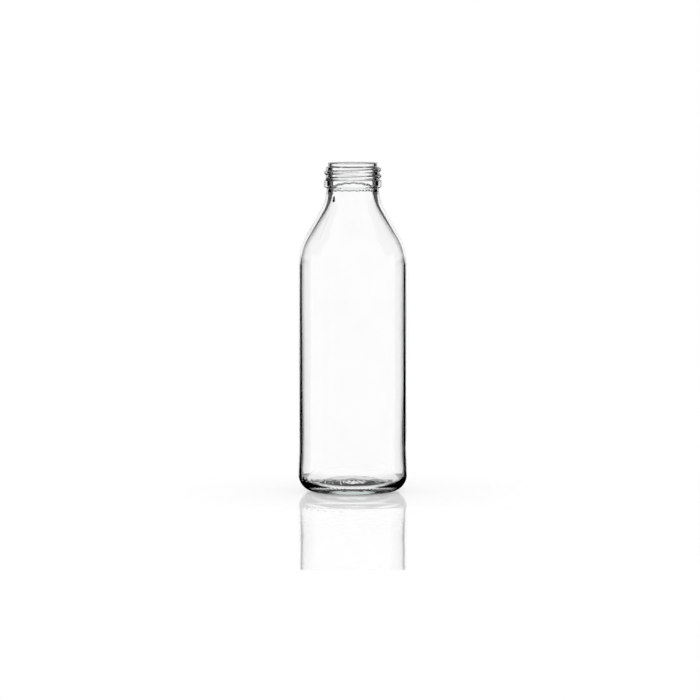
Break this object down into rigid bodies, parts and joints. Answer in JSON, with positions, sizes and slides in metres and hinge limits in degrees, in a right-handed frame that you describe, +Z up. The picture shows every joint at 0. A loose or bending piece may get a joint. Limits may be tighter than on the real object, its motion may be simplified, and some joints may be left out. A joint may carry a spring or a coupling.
{
  "type": "glass milk bottle",
  "caption": "Clear glass milk bottle with a round body, sloping shoulder and a short neck with a bead and a screw finish.",
  "frame": {"origin": "on the bottle's axis, in the plane of the ring that it stands on", "axes": "+Z up along the axis towards the mouth; -Y is the front of the bottle as pictured"},
  "size_m": [0.0712, 0.0712, 0.215],
  "materials": {
    "glass": "clear, polished, faintly grey-green"
  },
  "bodies": {
    "root": {"glass_bottle": "glass"}
  },
  "joints": []
}
